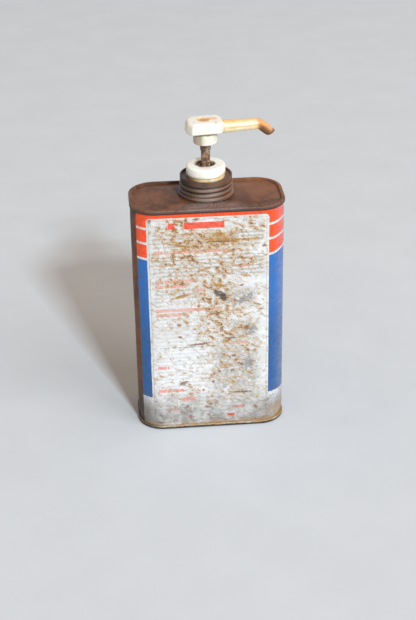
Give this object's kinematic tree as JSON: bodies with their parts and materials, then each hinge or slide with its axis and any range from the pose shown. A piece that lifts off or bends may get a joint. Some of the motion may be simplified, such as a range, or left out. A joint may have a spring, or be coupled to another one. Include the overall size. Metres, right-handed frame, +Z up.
{
  "type": "pump oil can",
  "caption": "Oblong tin oil can with a push pump on its screw cap: plunger head with a bent spout, dip tube, check balls and return spring.",
  "frame": {"origin": "middle of the base, on the plane that the bottom seam's rim stands on", "axes": "+Z up along the pump's axis; the label face looks along -Y; the spout points towards +X"},
  "size_m": [0.117, 0.059, 0.2481],
  "materials": {
    "printed_tin": "printed tinplate, semi-gloss, in red, blue and white, with rust stains",
    "rusted_tin": "tinplate ends rusted brown, matt",
    "plain_tin": "dull tinplate",
    "rusted_cap": "rolled tinplate cap rusted brown, matt with worn ribs",
    "aged_plastic": "yellowed, greasy moulded plastic",
    "white_plastic": "off-white moulded plastic with amber oil stains",
    "guide_plastic": "dirty natural plastic",
    "clear_plastic": "natural polythene",
    "amber_plastic": "yellowed translucent plastic",
    "seal_rubber": "oil-proof rubber",
    "spring_steel": "drawn wire",
    "bright_steel": "polished",
    "oiled_rod": "dark with old oil, satin"
  },
  "bodies": {
    "can": {"can_body": "printed_tin", "top_panel": "rusted_tin", "bottom_panel": "rusted_tin", "can_neck": "plain_tin"},
    "pump_unit": {"pump_barrel": "aged_plastic", "flange_gasket": "seal_rubber", "gland_nut": "white_plastic", "rod_guide": "guide_plastic", "rod_seal": "seal_rubber", "ball_cage": "guide_plastic", "dip_tube": "clear_plastic", "return_spring": "spring_steel"},
    "cap": {"screw_cap": "rusted_cap"},
    "plunger": {"pump_rod": "oiled_rod", "stop_sleeve": "oiled_rod", "piston": "guide_plastic", "piston_cup": "seal_rubber", "cup_washer": "bright_steel"},
    "head": {"pump_head": "white_plastic", "head_nut": "white_plastic", "head_seal": "seal_rubber", "spout": "amber_plastic"},
    "inlet_valve": {"inlet_ball": "bright_steel"},
    "outlet_valve": {"outlet_ball": "bright_steel"}
  },
  "joints": [
    {"name": "pump_rise", "type": "slide", "parent": "can", "child": "pump_unit", "axis": [0, 0, 1], "range_m": [0, 0.0061]},
    {"name": "cap_turn", "type": "hinge", "parent": "pump_unit", "child": "cap", "pos_m": [0, 0, 0.204], "axis": [0, 0, 1], "range_deg": [0, 540]},
    {"name": "plunge", "type": "slide", "parent": "pump_unit", "child": "plunger", "axis": [0, 0, -1], "range_m": [0, 0.0162], "stiffness_N_per_m": 200, "springref_m": -0.02, "deforming": ["return_spring"]},
    {"name": "head_swivel", "type": "hinge", "parent": "plunger", "child": "head", "pos_m": [0, 0, 0.2398], "axis": [0, 0, 1], "continuous": true},
    {"name": "inlet_ball_lift", "type": "slide", "parent": "pump_unit", "child": "inlet_valve", "axis": [0, 0, 1], "range_m": [0, 0.0015]},
    {"name": "outlet_ball_lift", "type": "slide", "parent": "plunger", "child": "outlet_valve", "axis": [0, 0, 1], "range_m": [0, 0.0012]}
  ],
  "couplings": [
    {"joint": "pump_rise", "follows": "cap_turn", "m_per_rad": 0.00063662}
  ]
}
